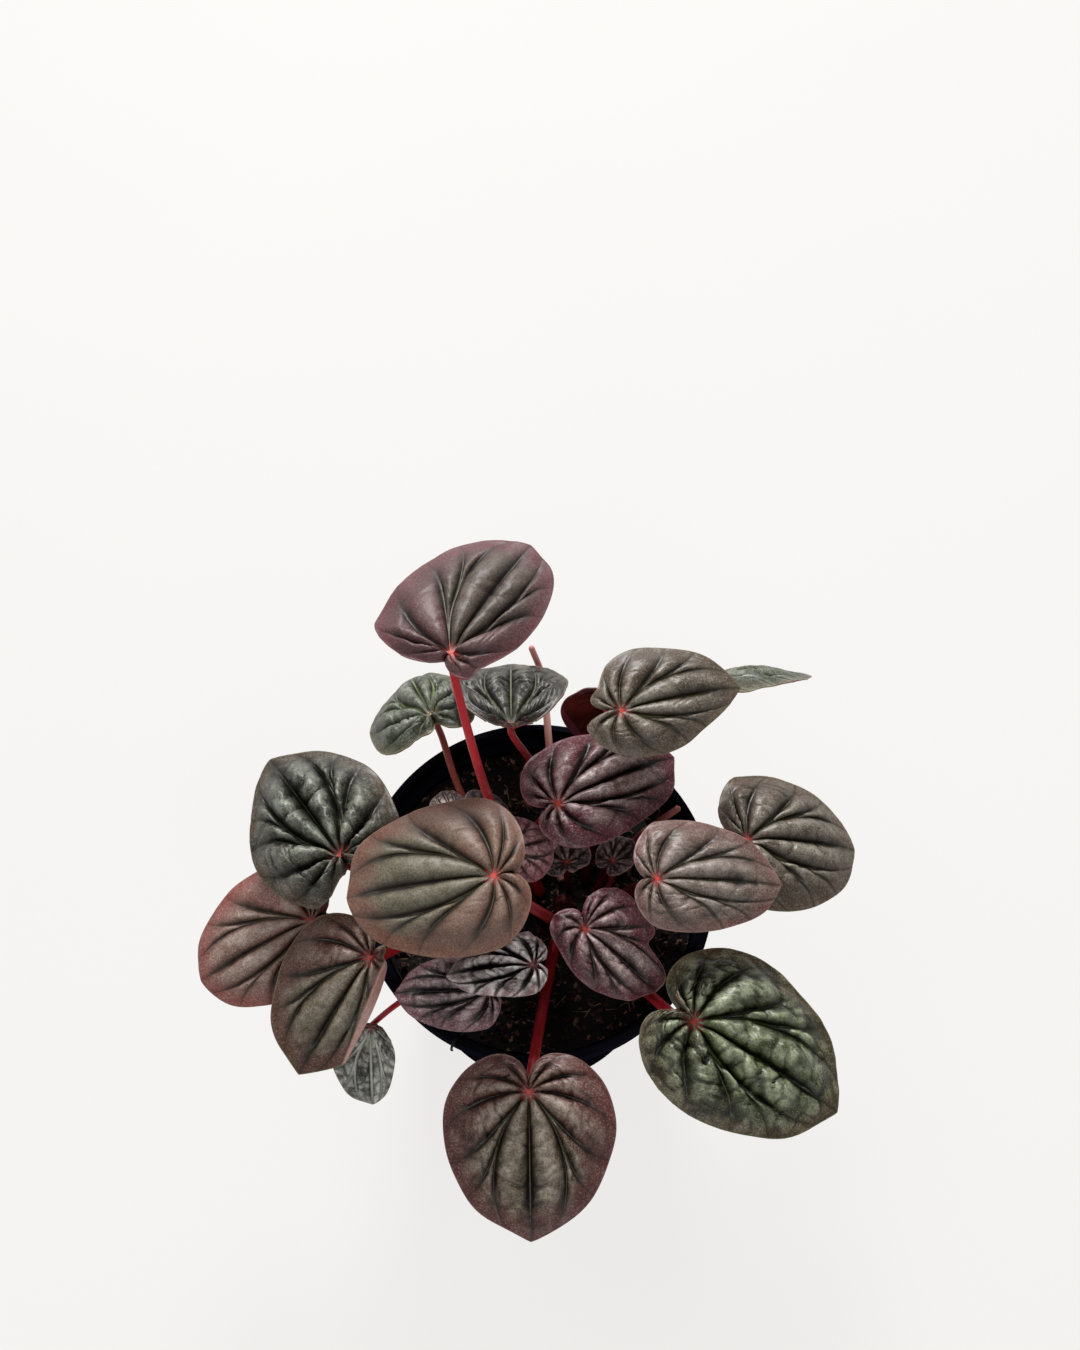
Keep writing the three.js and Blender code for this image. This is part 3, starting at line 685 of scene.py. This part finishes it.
def paintTop(code, leaf, tones):
    # the upper face, from the broad colours down to the furrows, the light lines and the star
    top = Paint("bladeTop_" + code, Specular_IOR_Level=0.55)
    length = leaf["size"][0]
    lines = leaf["lines"]
    vein, crown, out = top.read("vein"), top.read("crown"), top.read("out")
    rim, share, turn = top.read("rim"), top.read("share"), top.read("turn")
    hold, seam = top.read("hold"), top.read("seam")
    cloud = top.grain(skin["cloud"])
    streak = top.grain(skin["streak"], 5.0, 0.7)
    fine = top.grain(skin["fine"], 2.0, 0.7)
    middle = turn.step(0.42, 0.08) * share.step(1.0, 0.62)
    middle = (middle + (cloud - 0.5) * 0.9).step(0.1, 0.75)
    edging = (rim.step(0.2 * length, 0.02 * length) * (cloud * 1.4)).step(0.25, 0.85)
    # Silvery grains on the crowns of the pillows: partly the leaf's own silver, partly a painted highlight
    # where light falls on the crowns.
    satin = crown.step(0.6, 1.15) * (streak.step(0.3, 0.7) * 0.65 + 0.25) * cloud.step(0.3, 0.6)
    # Pale bands beside the ribs: partly silvery colour, partly a painted highlight on the ridges there.
    banks = vein.step(2.4, 1.0) * vein.step(0.25, 0.7) * (cloud * 0.8 + streak * 0.6).step(0.5, 0.8)
    # Painted shade: the colour is darkened where the pillows sink towards the furrows, more where the ribs
    # are strong.
    depth = (1.0 - crown).step(0.12, 0.7) * hold.step(0.0, 0.5)
    breadth = leaf["lineBreadth"]
    line = vein.step(breadth, 0.3 * breadth) * share.step(0.06, 0.2) * hold
    coats = [
        (middle, tones["middle"]),
        (edging, tones["patch"]),
        (satin * leaf["satin"], tones["satin"]),
        # Fine light grains on the crowns: partly the leaf's own speckle, partly a painted highlight
        # sparkle.
        (fine.step(0.5, 0.7) * crown.step(0.2, 0.8) * 0.4, tones["satin"]),
        (banks * leaf["banks"], tones["satin"]),
        (depth * lines, tones["furrowAndShade"]),
        # Darker along the seams between the small cushions: partly the finest veins' own colour, partly
        # painted shade in those creases.
        (seam.step(0.3, 1.0) * (0.5 * lines), tones["furrowAndShade"]),
        (vein.step(0.5, 0.08) * (hold * 0.7 + 0.25) * lines, tones["furrowAndShade"]),
        (fine.step(0.5, 0.3) * 0.55, tones["furrowAndShade"]),
        (line * (0.6 * lines), tones["line"]),
        (rim.step(0.45, 0.15) * 0.6, tones["rim"]),
    ]
    if "foldLeft" in leaf:
        strip = top.mix(streak.step(0.3, 0.7), skin["strip"], skin["stripLight"])
        coats.append((top.read("fold").step(0.1, 0.9) * 0.95, strip))
    radius = skin["starRadius"] + skin["starGrowth"] * length
    blush = vein.step(0.4, 0.1) * out.step(radius * 3.2, radius * 1.4)
    core = (out + vein * 1.5).step(radius * 0.95, radius * 0.6)
    spurs = (out + vein * 14.0).step(radius * 2.6, radius * 1.9)
    coats.append((blush * 0.55, skin["blush"]))
    coats.append((top.larger(core, spurs) * 0.9, stars[leaf["star"]]))
    colour = top.layer(tones["outer"], coats)
    top.finish(Base_Color=colour, Roughness=fine * 0.2 + leaf["matte"])
    top.bump(fine * 0.5 + streak * 0.8, 0.0001, 0.7)
    return top.material


def paintUnder(code, leaf, tones):
    under = Paint("bladeUnder_" + code)
    blush = under.grain(skin["underBlush"], 3.0).step(0.3, 0.7)
    fine = under.grain(skin["underFine"])
    colour = under.mix(blush, under.mix(0.5, tones["under"], tones["furrowAndShade"]), tones["under"])
    if "flap" in leaf:
        x, z, slant = leaf["flap"]
        across = under.along("X") * 1000 - x
        height = under.along("Z") * 1000 - z
        folded = (across + height * slant).step(skin["flapEdge"], -skin["flapEdge"])
        colour = under.mix(folded, colour, skin["flap"])
    ribbing = under.read("vein").step(0.7, 0.2) * (0.6 * leaf["lines"])
    colour = under.mix(ribbing, colour, skin["ribbing"])
    under.finish(Base_Color=colour, Roughness=fine * 0.12 + leaf["underMatte"])
    under.bump(fine, 0.00006, 0.5)
    return under.material


def paintRim(code, leaf, tones):
    edge = Paint("bladeRim_" + code, Roughness=skin["rimRoughness"])
    patches = edge.grain(skin["rimPatches"]).step(0.35, 0.65)
    edge.finish(Base_Color=edge.mix(patches, tones["rim"], tones["under"]))
    return edge.material


def buildBlades():
    for code, leaf in eachLeaf():
        buildBlade(code, leaf)
    print("blades ready")


stalk = dict(footTop=79.6, foot=9, into=0.5, steps=30, girth=0.95, footFlare=0.16,
             seatFlare=0.2, roughness=0.32, bevelSteps=5, smoothAngle=50)
# Colours of a stalk near the soil, higher up, and of its light streaks. On the leaf stalks the darker
# colour near the soil is painted shade, and the dark and deep sets are partly painted shade too, for
# stalks that lie in the shade of the leaves.
stalkTones = {
    "bright": ((150, 18, 30), (196, 42, 52), (220, 104, 98)),
    "rosy": ((168, 84, 76), (186, 100, 92), (206, 142, 130)),
    "cherry": ((136, 14, 24), (176, 50, 56), (206, 96, 90)),
    "dark": ((74, 4, 10), (128, 18, 24), (158, 48, 50)),
    "deep": ((26, 0, 2), (66, 6, 10), (96, 24, 28)),
}
spikes = {
    "01": dict(foot=(7, 6), via=[(4, 38, 88), (3, 51, 90), (1.8, 62, 94)], end=(-1.4, 67.5, 103),
           stalk=1.2, slim=0.75, tones=((226, 168, 160), (196, 92, 92), (232, 190, 170))),
    "02": dict(foot=(16.5, -6.5), via=[(22.5, 5.5, 87.5), (28.5, 12.6, 94.8)], end=(39, 16, 110),
           stalk=1.0, slim=0.9, tones=((112, 32, 36), (176, 112, 104), (232, 190, 170))),
}
spikeRoughness = 0.42
spikeTip = (25, 50, 70, 84)  # angles of the rings that round off its end


def smoothRoute(points, steps):
    # a centripetal curve through the points, as the part's source bends its stalks
    ends = [2 * points[0] - points[1]] + points + [2 * points[-1] - points[-2]]
    route = []
    for k in range(steps + 1):
        span = min(k * (len(points) - 1) / steps, len(points) - 1 - 1e-9)
        i = int(span)
        row = ends[i:i + 4]
        knots = [0.0]
        for a, b in zip(row, row[1:]):
            knots.append(knots[-1] + math.sqrt(max((b - a).length, 1e-6)))
        t = knots[1] + (span - i) * (knots[2] - knots[1])
        for level in (1, 2):
            row = [
                row[j].lerp(row[j + 1], (t - knots[j]) / (knots[j + level] - knots[j]))
                for j in range(len(row) - 1)
            ]
        route.append(row[0].lerp(row[1], (t - knots[1]) / (knots[2] - knots[1])))
    return route


def plantedRoute(foot, places):
    # from the bottom of a stalk's hole in the soil, through its foot, to the last place
    base = Vector((*foot, stalk["footTop"]))
    route = smoothRoute([base] + [Vector(place) for place in places], stalk["steps"])
    return [base - Vector((0, 0, stalk["foot"]))] + route


def tube(name, route, radii):
    startFresh()
    bpy.ops.curve.primitive_nurbs_path_add()
    path = bpy.context.active_object
    path.name = name
    curve = path.data
    curve.splines.clear()
    spline = curve.splines.new("POLY")
    spline.points.add(len(route) - 1)
    for point, place, radius in zip(spline.points, route, radii):
        point.co = (place.x * mm, place.y * mm, place.z * mm, 1)
        point.radius = radius
    curve.dimensions = "3D"
    curve.bevel_depth = mm
    curve.bevel_resolution = stalk["bevelSteps"]
    curve.use_fill_caps = True
    pick(path)
    bpy.ops.object.convert(target="MESH")
    bpy.ops.object.shade_smooth_by_angle(angle=math.radians(stalk["smoothAngle"]))
    return startPiece(name)


def stalkPaint(name, tones, roughness):
    low, high, spot = tones
    paint = Paint(name, Specular_IOR_Level=0.25)
    height = paint.along("Z")
    streak = paint.grain(260.0, 3.0, 0.6)
    fine = paint.grain(1800.0)
    # Darker towards the soil: on the leaf stalks this is painted shade; on the spikes, the rootlet and the
    # crown stem it is their own change of colour.
    heightToneAndShade = (height + (streak - 0.5) * 0.02).step(0.085, 0.13)
    colour = paint.mix(streak.step(0.55, 0.75) * 0.5, paint.mix(heightToneAndShade, low, high), spot)
    paint.finish(Base_Color=colour, Roughness=fine * 0.12 + roughness)
    paint.bump(fine * 0.4 + streak, 0.0001, 0.5)
    return paint.material


def buildStalk(code, leaf, material):
    heading, droop, roll = (math.radians(a) for a in leaf["turns"])
    normal = Euler((roll, droop, heading), "XYZ").to_matrix() @ Vector((0, 0, 1))
    seat = Vector(leaf["seat"])
    meeting = [seat - normal * leaf["approach"], seat - normal * stalk["into"]]
    route = plantedRoute(leaf["foot"], leaf["via"] + meeting)
    radii = []
    for k in range(len(route)):
        share = k / (len(route) - 1)
        flare = 1 + stalk["footFlare"] * (1 - smooth(share, 0, 0.3))
        flare += stalk["seatFlare"] * smooth(share, 0.9, 1)
        slim = 1 + (leaf["slim"] - 1) * smooth(share, 0.1, 0.9)
        radii.append(leaf["stalk"] * flare * slim * stalk["girth"])
    piece = tube("leafStalk_" + code, route, radii)
    piece.data.materials.append(material)
    settle(piece, "stalk_red", "petiole_" + code)


def buildSpike(code, spike):
    route = plantedRoute(spike["foot"], spike["via"] + [spike["end"]])
    end = spike["stalk"] * spike["slim"]
    radii = [spike["stalk"] + (end - spike["stalk"]) * k / len(route) for k in range(len(route))]
    lead = (route[-1] - route[-2]).normalized()
    for turn in spikeTip:
        route.append(Vector(spike["end"]) + lead * end * math.sin(math.radians(turn)))
        radii.append(end * math.cos(math.radians(turn)))
    piece = tube("flowerSpike_" + code, route, radii)
    piece.data.materials.append(stalkPaint("spikeSkin_" + code, spike["tones"], spikeRoughness))
    settle(piece, "spike_pink", "spike_" + code)


def buildStalks():
    paints = {name: stalkPaint("stalk_" + name, tones, stalk["roughness"])
              for name, tones in stalkTones.items()}
    for code, leaf in eachLeaf():
        buildStalk(code, leaf, paints[leaf["stem"]])
    for code, spike in spikes.items():
        buildSpike(code, spike)
    print("stalks ready")


pot = dict(height=88, rim=50, band=49.2, bandHeight=9, wallTop=46.8, base=35, wall=1.2,
           floor=1.6, sides=144, holes=8, holeRadius=3, holeCircle=27, holeSides=24,
           drill=0.02, smoothAngle=35, plastic=(6, 6, 11), dusty=(14, 14, 21),
           paintedBandSheen=(19, 21, 31), dirt=(26, 24, 26))


def potProfile():
    # radius and height of each corner, up the outside and down the inside
    height, band, wall, wallTop, base = (pot[key] for key in ("height", "band", "wall", "wallTop", "base"))
    rim, bottom = pot["rim"], pot["floor"]
    ledge = height - pot["bandHeight"]
    outside = [
        (base - 1.2, 0), (base - 0.3, 0.3), (base, 1.2), (wallTop, ledge - 0.5), (band - 0.4, ledge),
        (band, ledge + 0.4), (band, height - 1.7), (rim - 0.1, height - 1.3), (rim, height - 0.8),
        (rim - 0.1, height - 0.25), (rim - 0.45, height),
    ]
    inside = [
        (band - wall + 0.2, height), (band - wall, height - 0.3), (band - wall, ledge + 1.4),
        (wallTop - wall, ledge + 0.2), (base - wall, bottom + 0.6), (base - wall - 0.8, bottom),
    ]
    return outside + inside


def addDrills():
    # the cylinders of the drain holes, all in one object
    startFresh()
    for k in range(pot["holes"]):
        angle = (k + 0.5) * 2 * math.pi / pot["holes"]
        reach = pot["holeCircle"]
        spot = (reach * math.cos(angle) * mm, reach * math.sin(angle) * mm, 0)
        if k == 1:
            bpy.ops.object.mode_set(mode="EDIT")
        bpy.ops.mesh.primitive_cylinder_add(vertices=pot["holeSides"], radius=pot["holeRadius"] * mm,
                                            depth=pot["drill"], location=spot)
    endEdit()
    bpy.ops.object.transform_apply(location=True, rotation=False, scale=False)
    return bpy.context.active_object


def buildPot():
    profile = potProfile()
    startFresh()
    bpy.ops.mesh.primitive_circle_add(vertices=pot["sides"], radius=profile[0][0] * mm, fill_type="NGON")
    piece = startPiece("nurseryPot")
    editFaces()
    bpy.ops.mesh.select_mode(type="FACE")
    for (radius, z), (nextRadius, nextZ) in zip(profile, profile[1:]):
        bpy.ops.mesh.extrude_region_move(TRANSFORM_OT_translate={"value": (0, 0, (nextZ - z) * mm)})
        grow = nextRadius / radius
        bpy.ops.transform.resize(value=(grow, grow, 1), center_override=(0, 0, nextZ * mm))
    bpy.ops.mesh.select_all(action="SELECT")
    bpy.ops.mesh.normals_make_consistent(inside=False)
    endEdit()
    drills = addDrills()
    addModifier(piece, "BOOLEAN", operation="DIFFERENCE", object=drills)
    bpy.data.objects.remove(drills)
    pick(piece)
    bpy.ops.object.shade_smooth_by_angle(angle=math.radians(pot["smoothAngle"]))
    paint = Paint("potPlastic", Specular_IOR_Level=0.0)
    dust = paint.grain(90.0, 4.0, 0.6)
    fine = paint.grain(3000.0)
    height = paint.along("Z")
    dirt = (height.step(0.079, 0.0875) * dust).step(0.35, 0.75)
    colour = paint.layer(pot["plastic"], [
        (dust.step(0.4, 0.75) * 0.5, pot["dusty"]),
        # Painted sheen: the band and the rim above it get a lighter, bluish tone that stands for a faint
        # sheen of light along them.
        (height.step(0.0785, 0.0795) * 0.8, pot["paintedBandSheen"]),
        (dirt * 0.4, pot["dirt"]),
    ])
    paint.finish(Base_Color=colour, Roughness=dust * 0.25 + 0.6)
    paint.bump(fine * 0.3 + dust, 0.00005, 0.5)
    piece.data.materials.append(paint.material)
    settle(piece, "pot_plastic", "pot")
    print("pot ready")


soil = dict(top=78, edge=45.0, bottom=1.9, turns=150, rings=56, lump=0.9, waist=0.87,
            base=0.85, dark=(2, 0, 0), light=(18, 8, 6), damp=(24, 14, 12), speck=(142, 106, 88))
crumbs = dict(count=1300, least=0.35, more=1.1, dents=0.5, lift=0.25, gap=1.0,
              stretches=((0.8, 1.5), (0.7, 1.1), (0.5, 0.9)), dark=(4, 1, 1), light=(72, 46, 38))
fibres = dict(count=150, sides=5, radius=0.14, cuts=(0, 0.5, -0.5), bend=0.35, waves=1.9,
              lift=0.5, gap=3, dark=(44, 30, 22), light=(120, 92, 66))
rootlet = dict(route=[(-19.5, -38.5, 76.5), (-21, -41.2, 82), (-22.1, -43.3, 88.8), (-23, -45.1, 88.7),
                      (-23.4, -45.9, 86.8), (-23.2, -45.6, 84.4)], radius=0.5, steps=24,
               tones=((16, 8, 8), (30, 16, 14), (58, 38, 30)), roughness=0.6)
crown = dict(place=(8, -3), radius=3.2, top=87, bottom=68, lobes=5, lobeDepth=0.14,
             tones=((70, 24, 24), (110, 40, 38), (120, 84, 60)), roughness=0.5)


def soilHeight(x, y):
    # the broad and fine swells of the part's source, with loose lumps on top
    broad = math.sin(x * 0.19 + 1.3) * math.cos(y * 0.23 - 0.4)
    fine = math.sin(x * 0.61 + y * 0.37) * math.cos(y * 0.53 - x * 0.21 + 0.8)
    lumps = noise.noise(Vector((x * 0.33, y * 0.33, 4))) + 0.6 * noise.noise(Vector((x, y, 9)))
    return soil["top"] + soil["lump"] * (0.6 * broad + 0.4 * fine + 0.9 * lumps)


def soilPaint(name, dark, light):
    paint = Paint(name, Specular_IOR_Level=0.25)
    clods = paint.grain(700.0, 5.0, 0.7)
    patch = paint.grain(110.0, 3.0)
    specks = paint.grain(520.0, 3.0).step(0.58, 0.66) * patch.step(0.45, 0.6)
    colour = paint.layer(dark, [
        (clods.step(0.35, 0.75), light),
        (patch.step(0.5, 0.8) * 0.4, soil["damp"]),
        (specks * 0.85, soil["speck"]),
    ])
    paint.finish(Base_Color=colour, Roughness=clods * 0.25 + 0.7)
    paint.bump(clods, 0.0006, 0.9)
    return paint.material


def buildSoil():
    startFresh()
    bpy.ops.mesh.primitive_grid_add(x_subdivisions=soil["turns"], y_subdivisions=soil["rings"], size=2)
    piece = startPiece("pottingSoil")
    for vertex in piece.data.vertices:
        angle = -math.pi * vertex.co.x
        radius = soil["edge"] * (vertex.co.y + 1) / 2
        x, y = radius * math.cos(angle), radius * math.sin(angle)
        vertex.co = (x * mm, y * mm, soilHeight(x, y) * mm)
    editFaces()
    bpy.ops.mesh.remove_doubles(threshold=1e-6)
    bpy.ops.mesh.select_mode(type="EDGE")
    bpy.ops.mesh.select_all(action="DESELECT")
    bpy.ops.mesh.select_non_manifold()
    # the open edge is drawn down to a level ring halfway, and then to the bottom
    middle = 0.5 * soil["top"]
    bpy.ops.mesh.extrude_region_move(TRANSFORM_OT_translate={"value": (0, 0, -middle * mm)})
    bpy.ops.transform.resize(value=(soil["waist"], soil["waist"], 0), center_override=(0, 0, middle * mm))
    drop = (soil["bottom"] - middle) * mm
    bpy.ops.mesh.extrude_region_move(TRANSFORM_OT_translate={"value": (0, 0, drop)})
    bpy.ops.transform.resize(value=(soil["base"], soil["base"], 1), center_override=(0, 0, 0))
    bpy.ops.mesh.edge_face_add()
    bpy.ops.mesh.select_all(action="SELECT")
    bpy.ops.mesh.normals_make_consistent(inside=False)
    endEdit()
    bpy.ops.object.shade_smooth_by_angle(angle=math.radians(60))
    piece.data.materials.append(soilPaint("peat", soil["dark"], soil["light"]))
    settle(piece, "potting_soil", "soil")
    print("soil ready")


def scatterSpot(radius):
    angle = dice.uniform(0, 2 * math.pi)
    reach = radius * math.sqrt(dice.random())
    return reach * math.cos(angle), reach * math.sin(angle)


def placing(x, y, z, size, turn):
    spin = Euler(turn, "XYZ").to_matrix().to_4x4()
    stretch = Matrix.Diagonal((*[a * mm for a in size], 1))
    return Matrix.Translation((x * mm, y * mm, z * mm)) @ spin @ stretch


def joinCopies(name, master, places):
    # copies of one small mesh, each moved to its place, joined in one piece
    copies = []
    for matrix in places:
        copy = master.copy()
        copy.data = master.data.copy()
        copy.data.transform(matrix)
        bpy.context.collection.objects.link(copy)
        copies.append(copy)
    bpy.data.objects.remove(master)
    startFresh()
    for copy in copies:
        copy.select_set(True)
    bpy.context.view_layer.objects.active = copies[0]
    bpy.ops.object.join()
    return startPiece(name)


def buildCrumbs():
    startFresh()
    bpy.ops.mesh.primitive_ico_sphere_add(subdivisions=1, radius=1)
    crumb = bpy.context.active_object
    for vertex in crumb.data.vertices:
        vertex.co *= 1 + crumbs["dents"] * noise.noise(vertex.co * 2.3)
    places = []
    for _ in range(crumbs["count"]):
        x, y = scatterSpot(soil["edge"] - crumbs["gap"])
        size = crumbs["least"] + crumbs["more"] * dice.random() ** 3
        stretch = tuple(size * dice.uniform(*limits) for limits in crumbs["stretches"])
        turn = tuple(dice.uniform(0, 6) for _ in range(3))
        places.append(placing(x, y, soilHeight(x, y) + crumbs["lift"] * size, stretch, turn))
    piece = joinCopies("peatCrumbs", crumb, places)
    piece.data.materials.append(soilPaint("peatCrumb", crumbs["dark"], crumbs["light"]))
    settle(piece, "potting_soil")
    print("crumbs ready")


def buildFibres():
    startFresh()
    bpy.ops.mesh.primitive_cylinder_add(vertices=fibres["sides"], radius=fibres["radius"], depth=2)
    fibre = bpy.context.active_object
    for height in fibres["cuts"]:
        editFaces()
        bpy.ops.mesh.bisect(plane_co=(0, 0, height), plane_no=(0, 0, 1))
    endEdit()
    for vertex in fibre.data.vertices:
        vertex.co.x += fibres["bend"] * math.sin(vertex.co.z * fibres["waves"])
    places = []
    for _ in range(fibres["count"]):
        x, y = scatterSpot(soil["edge"] - fibres["gap"])
        length = dice.uniform(0.8, 2.6)
        turn = (math.pi / 2 + dice.uniform(-0.3, 0.3), dice.uniform(0, 3), dice.uniform(0, 6))
        stretch = (dice.uniform(0.8, 1.5), 1, length)
        places.append(placing(x, y, soilHeight(x, y) + fibres["lift"], stretch, turn))
    piece = joinCopies("peatFibres", fibre, places)
    paint = Paint("tanFibre", Roughness=0.8)
    bits = paint.grain(180.0).step(0.4, 0.6)
    paint.finish(Base_Color=paint.mix(bits, fibres["dark"], fibres["light"]))
    piece.data.materials.append(paint.material)
    settle(piece, "potting_soil")
    print("fibres ready")


def buildCrown():
    x, y = crown["place"]
    startFresh()
    bpy.ops.mesh.primitive_uv_sphere_add(segments=28, ring_count=20, radius=1)
    piece = startPiece("crownStem")
    bottom, top = crown["bottom"], crown["top"]
    for vertex in piece.data.vertices:
        spot = vertex.co.copy()
        lobes = math.sin(crown["lobes"] * math.atan2(spot.y, spot.x) + 5 * spot.z)
        radius = crown["radius"] * (1 + crown["lobeDepth"] * lobes + 0.12 * noise.noise(spot * 2.4))
        height = bottom + (top - bottom) * (spot.z + 1) / 2
        vertex.co = ((x + spot.x * radius) * mm, (y + spot.y * radius) * mm, height * mm)
    bpy.ops.object.shade_smooth()
    piece.data.materials.append(stalkPaint("crownSkin", crown["tones"], crown["roughness"]))
    settle(piece, "crown_stem", "crown")
    print("crown ready")


def buildRootlet():
    # a thin root that has grown up from the soil and hangs over the rim
    route = smoothRoute([Vector(place) for place in rootlet["route"]], rootlet["steps"])
    radii = [rootlet["radius"] * (1.15 - 0.6 * k / len(route)) for k in range(len(route))]
    piece = tube("rimRootlet", route, radii)
    piece.data.materials.append(stalkPaint("rootSkin", rootlet["tones"], rootlet["roughness"]))
    settle(piece, "potting_soil")
    print("rootlet ready")


buildStudio()
buildBlades()
buildStalks()
buildPot()
buildSoil()
buildCrumbs()
buildFibres()
buildCrown()
buildRootlet()
